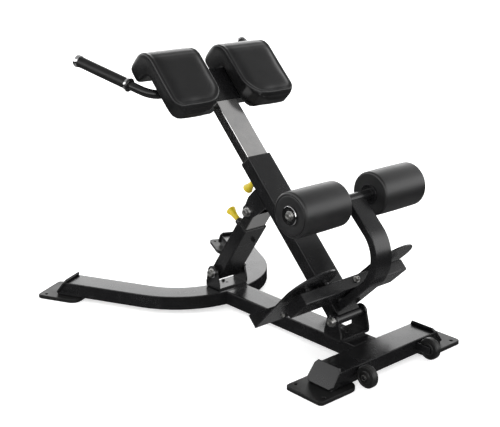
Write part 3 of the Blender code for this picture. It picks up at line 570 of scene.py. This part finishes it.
def foam_roller(label, side):
    """A moulded foam roller: crowned barrel, rounded rims, a ring groove and a dished end face."""
    low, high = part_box("roller_" + label)
    radius, length = (high.z - low.z) / 2, high.x - low.x
    centre = Vector(((low.x if side > 0 else high.x), (low.y + high.y) / 2, (low.z + high.z) / 2))
    place = frame_on(centre, ACROSS * side)
    rim = ROLLER_RIM
    outer = [(ROLLER_BORE, BORE_LIP), (ROLLER_BORE + BORE_LIP, 0.0), (radius - 0.012, 0.0)]
    outer += rounded_corner((radius - rim - ROLLER_CROWN, rim), rim, -90, 0)
    for i in range(1, BARREL_STEPS):
        t = i / BARREL_STEPS
        bulge = ROLLER_CROWN * (1 - (2 * t - 1) ** 2)
        outer.append((radius - ROLLER_CROWN + bulge, rim + (length - 2 * rim) * t))
    outer += rounded_corner((radius - rim - ROLLER_CROWN, length - rim), rim, 0, 90)
    outer += [(radius - inward, length + height) for inward, height in RIM_GROOVE]
    outer += [(across, length + height) for across, height in DISH]
    mesh = bmesh.new()
    turn(mesh, outer, place, 96)
    roller = piece("foam_roller_" + label, mesh, "foam_roller", "foam_roller_" + label)
    shade(roller)
    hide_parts("roller_" + label)


for name, sign in SIDES:
    foam_roller(name, sign)


# ---- Fasteners -------------------------------------------------------------------------------
PIVOT_SEAT, ROLLER_SEAT = 0.0080, 0.0075        # how far in from a bolt's or a cap's end its head starts
PIVOT_HEAD = [(0.0150, 0.0), (0.0154, 0.0006), (0.0152, 0.0020), (0.0138, 0.0026), (0.0136, 0.0090),
              (0.0126, 0.0106), (0.0090, 0.0114), (0.0078, 0.0112), (0.0072, 0.0104), (0.0068, 0.0084),
              (0.0, 0.0084)]
ROLLER_HEAD = [(0.0140, 0.0030), (0.0142, 0.0042), (0.0134, 0.0050), (0.0108, 0.0050), (0.0105, 0.0092),
               (0.0096, 0.0104), (0.0064, 0.0107), (0.0056, 0.0100), (0.0052, 0.0078), (0.0, 0.0078)]
WASHER = 0.0015                                 # its thickness


def hexagon(mesh, place, across, levels):
    """Rings of six points at (height, share of the full width), joined by faces."""
    corner = across / math.sqrt(3)
    turns = [math.pi * i / 3 for i in range(6)]
    rings = []
    for height, share in levels:
        flat = [(corner * share * math.cos(a), corner * share * math.sin(a)) for a in turns]
        rings.append([mesh.verts.new(place @ Vector((x, y, height))) for x, y in flat])
    for low, high in zip(rings, rings[1:]):
        for i in range(6):
            mesh.faces.new([low[i], low[(i + 1) % 6], high[(i + 1) % 6], high[i]])
    return rings


def hex_bolt(name, origin, axis, body, across, head, slot="zinc_steel"):
    """A chamfered hex head with a hex socket, on a washer that stands on the surface at origin."""
    place = frame_on(origin, axis)
    mesh = bmesh.new()
    rim, top = across * 0.85, WASHER + head
    washer = [(0.0, 0.0), (rim, 0.0), (rim, WASHER - 0.0004), (rim - 0.0004, WASHER), (0.0, WASHER)]
    turn(mesh, washer, place, 28)
    outer = hexagon(mesh, place, across,
                    [(WASHER, 0.94), (WASHER + 0.0007, 1.0), (top - 0.0012, 1.0), (top, 0.86)])
    inner = hexagon(mesh, place, across * 0.45, [(top, 1.0), (top - head * 0.5, 0.95)])
    mesh.faces.new(outer[0][::-1])
    mesh.faces.new(inner[1])
    for i in range(6):
        mesh.faces.new([outer[-1][i], outer[-1][(i + 1) % 6], inner[0][(i + 1) % 6], inner[0][i]])
    shade(piece(name, mesh, slot, body))


def socket_head(name, origin, axis, body, profile):
    """A turned head with a socket in it, which covers the plain dome of a bolt."""
    mesh = bmesh.new()
    turn(mesh, [(0.0, profile[0][1])] + profile, frame_on(origin, axis), 40)
    shade(piece(name, mesh, "zinc_steel", body))


def end_of(node, side, depth):
    """The middle of a node's left or right end, that far in from it."""
    low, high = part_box(node)
    middle = (low + high) / 2
    return Vector((low.x + depth if side < 0 else high.x - depth, middle.y, middle.z))


def bolt_heads():
    """Heads on the pivot bolts, and on the bolts that hold the rollers' caps."""
    for label, side in SIDES:
        for body, node in (("base", "front_pivot_bolt"), ("base", "rear_pivot_bolt"),
                           ("strut_rod", "top_pivot_bolt")):
            seat = end_of(node, side, PIVOT_SEAT)
            socket_head(node + "_head_" + label, seat, ACROSS * side, body, PIVOT_HEAD)
        seat = end_of("roller_cap_" + label, side, ROLLER_SEAT)
        socket_head("roller_bolt_" + label, seat, ACROSS * side, "beam", ROLLER_HEAD)


def small_bolts():
    """Bolts on the footrest and the arm's foot, under the foot plates, and in the clevises and the strut."""
    black = "black_powder_coat"
    hex_bolt("footrest_bolt", beam_point(4.0, 73.0, 114.3), OUT, "beam", across=0.0135, head=0.0105)
    hex_bolt("arm_bolt", beam_point(-35.2, 50.0, 44.0), -ACROSS, "beam", across=0.012, head=0.006, slot=black)
    for label, side in SIDES:
        for place, x in (("outer", 152.0), ("inner", 121.0)):
            hex_bolt("foot_plate_bolt_%s_%s" % (label, place), beam_point(side * x, 99.3, -97.0), -ALONG,
                     "beam", across=0.010, head=0.006)
    for label, y in (("front", -0.419), ("rear", 0.173)):
        hex_bolt(label + "_clevis_screw", Vector((0.0, y, 0.0717)), UP, "base", across=0.009, head=0.0045,
                 slot=black)
    hex_bolt("strut_screw", strut_point(17.0, 184.0, 25.2), STRUT_OUT, "strut_tube", across=0.011, head=0.009,
             slot=black)


bolt_heads()
small_bolts()


# ---- Floor, light and camera -----------------------------------------------------------------
FLOOR_HALF, FLOOR_DROP, FLOOR_GLOW = 40.0, 0.0005, 0.55     # its half width, its depth below 0, its own light
# The sky's brightness at heights from -1 (straight down) to 1 (straight up)
SKY = ((-0.95, 0.10), (-0.55, 0.06), (-0.42, 0.004), (-0.05, 0.004), (0.03, 0.92), (0.36, 1.0),
       (0.62, 0.19), (1.0, 0.13))
SKY_STRENGTH = 2.8
LAMP_ENERGY, LAMP_WIDTH = 1.1, math.radians(70)
LAMP_TILT = (math.radians(-18), math.radians(-14), 0.0)
WHITE = (1.0, 1.0, 1.0, 1.0)


def floor():
    mesh = bmesh.new()
    bmesh.ops.create_grid(mesh, x_segments=8, y_segments=8, size=FLOOR_HALF)
    data = bpy.data.meshes.new("studio_floor")
    mesh.to_mesh(data)
    mesh.free()
    look = Look("studio_floor_look")
    patch = look.noise(0.6, 3.0)
    look.shader.inputs["Emission Color"].default_value = WHITE
    look.shader.inputs["Emission Strength"].default_value = FLOOR_GLOW
    colour = look.mix(patch, (0.86, 0.86, 0.86), (0.90, 0.90, 0.90))
    data.materials.append(look.finish(colour, look.span(patch, 0.3, 0.7, 0.85, 0.95)))
    obj = bpy.data.objects.new("studio_floor", data)
    obj.location.z = -FLOOR_DROP
    obj.visible_glossy = False
    bpy.context.scene.collection.objects.link(obj)


def sky():
    """A bright band round the horizon, dimmer overhead and dark below, before a plain white backdrop."""
    world = bpy.data.worlds.new("studio")
    bpy.context.scene.world = world
    world.use_nodes = True
    nodes, links = world.node_tree.nodes, world.node_tree.links
    place, split = nodes.new("ShaderNodeTexCoord"), nodes.new("ShaderNodeSeparateXYZ")
    links.new(place.outputs["Generated"], split.inputs[0])
    level = nodes.new("ShaderNodeMapRange")
    level.inputs["From Min"].default_value = -1.0
    links.new(split.outputs["Z"], level.inputs["Value"])
    ramp = nodes.new("ShaderNodeValToRGB")
    links.new(level.outputs["Result"], ramp.inputs["Fac"])
    ramp.color_ramp.interpolation = "EASE"
    while len(ramp.color_ramp.elements) < len(SKY):
        ramp.color_ramp.elements.new(0.5)
    for element, (height, value) in zip(ramp.color_ramp.elements, SKY):
        element.position = (height + 1) / 2
        element.color = (value, value, value, 1.0)
    background, backdrop = nodes["Background"], nodes.new("ShaderNodeBackground")
    links.new(ramp.outputs["Color"], background.inputs["Color"])
    background.inputs["Strength"].default_value = SKY_STRENGTH
    backdrop.inputs["Color"].default_value = WHITE
    seen, mixed = nodes.new("ShaderNodeLightPath"), nodes.new("ShaderNodeMixShader")
    links.new(seen.outputs["Is Camera Ray"], mixed.inputs["Fac"])
    links.new(background.outputs[0], mixed.inputs[1])
    links.new(backdrop.outputs[0], mixed.inputs[2])
    links.new(mixed.outputs[0], nodes["World Output"].inputs["Surface"])


def lamp():
    light = bpy.data.lights.new("overhead", "SUN")
    light.energy = LAMP_ENERGY
    light.angle = LAMP_WIDTH
    obj = bpy.data.objects.new("overhead", light)
    obj.rotation_euler = LAMP_TILT
    obj.visible_glossy = False
    bpy.context.scene.collection.objects.link(obj)


def camera():
    data = bpy.data.cameras.new("camera")
    data.lens, data.sensor_width = LENS, SENSOR
    obj = bpy.data.objects.new("camera", data)
    bpy.context.scene.collection.objects.link(obj)
    flat = math.cos(CAMERA_RISE)
    back = Vector((math.sin(CAMERA_TURN) * flat, -math.cos(CAMERA_TURN) * flat, math.sin(CAMERA_RISE)))
    right = Vector((math.cos(CAMERA_TURN), math.sin(CAMERA_TURN), 0.0))
    up = back.cross(right)
    obj.matrix_world = Matrix.Translation(CAMERA_AT) @ Matrix((right, up, back)).transposed().to_4x4()
    bpy.context.scene.camera = obj


floor()
sky()
lamp()
camera()
bpy.context.scene.view_settings.view_transform = "Standard"
